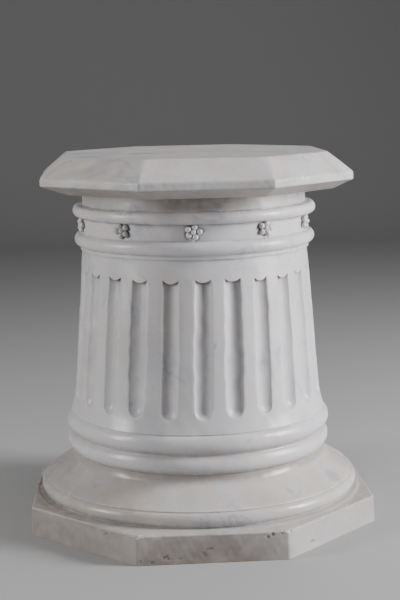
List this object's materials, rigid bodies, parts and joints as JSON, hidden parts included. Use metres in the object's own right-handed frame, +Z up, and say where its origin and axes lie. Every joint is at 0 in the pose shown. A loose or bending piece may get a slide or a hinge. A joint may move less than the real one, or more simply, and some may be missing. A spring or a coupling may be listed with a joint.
{
  "type": "column base",
  "caption": "Squat round fluted marble pedestal on an octagonal plinth with a round base moulding, beads, a frieze of carved rosettes, and a bevelled octagonal top slab",
  "frame": {"origin": "centre of the plinth's underside, on the axis of the shaft", "axes": "+Z up along the axis; two of the octagon's flat sides face +X and -X, two face +Y and -Y, and -Y is the front"},
  "size_m": [0.602, 0.602, 0.65],
  "materials": {
    "plinth_marble": "worn, rubbed smooth",
    "moulding_marble": "semi-polished",
    "shaft_marble": "semi-polished",
    "slab_marble": "honed"
  },
  "bodies": {
    "root": {"plinth": "plinth_marble", "base_moulding": "moulding_marble", "shaft": "shaft_marble", "top_slab": "slab_marble"}
  },
  "joints": []
}
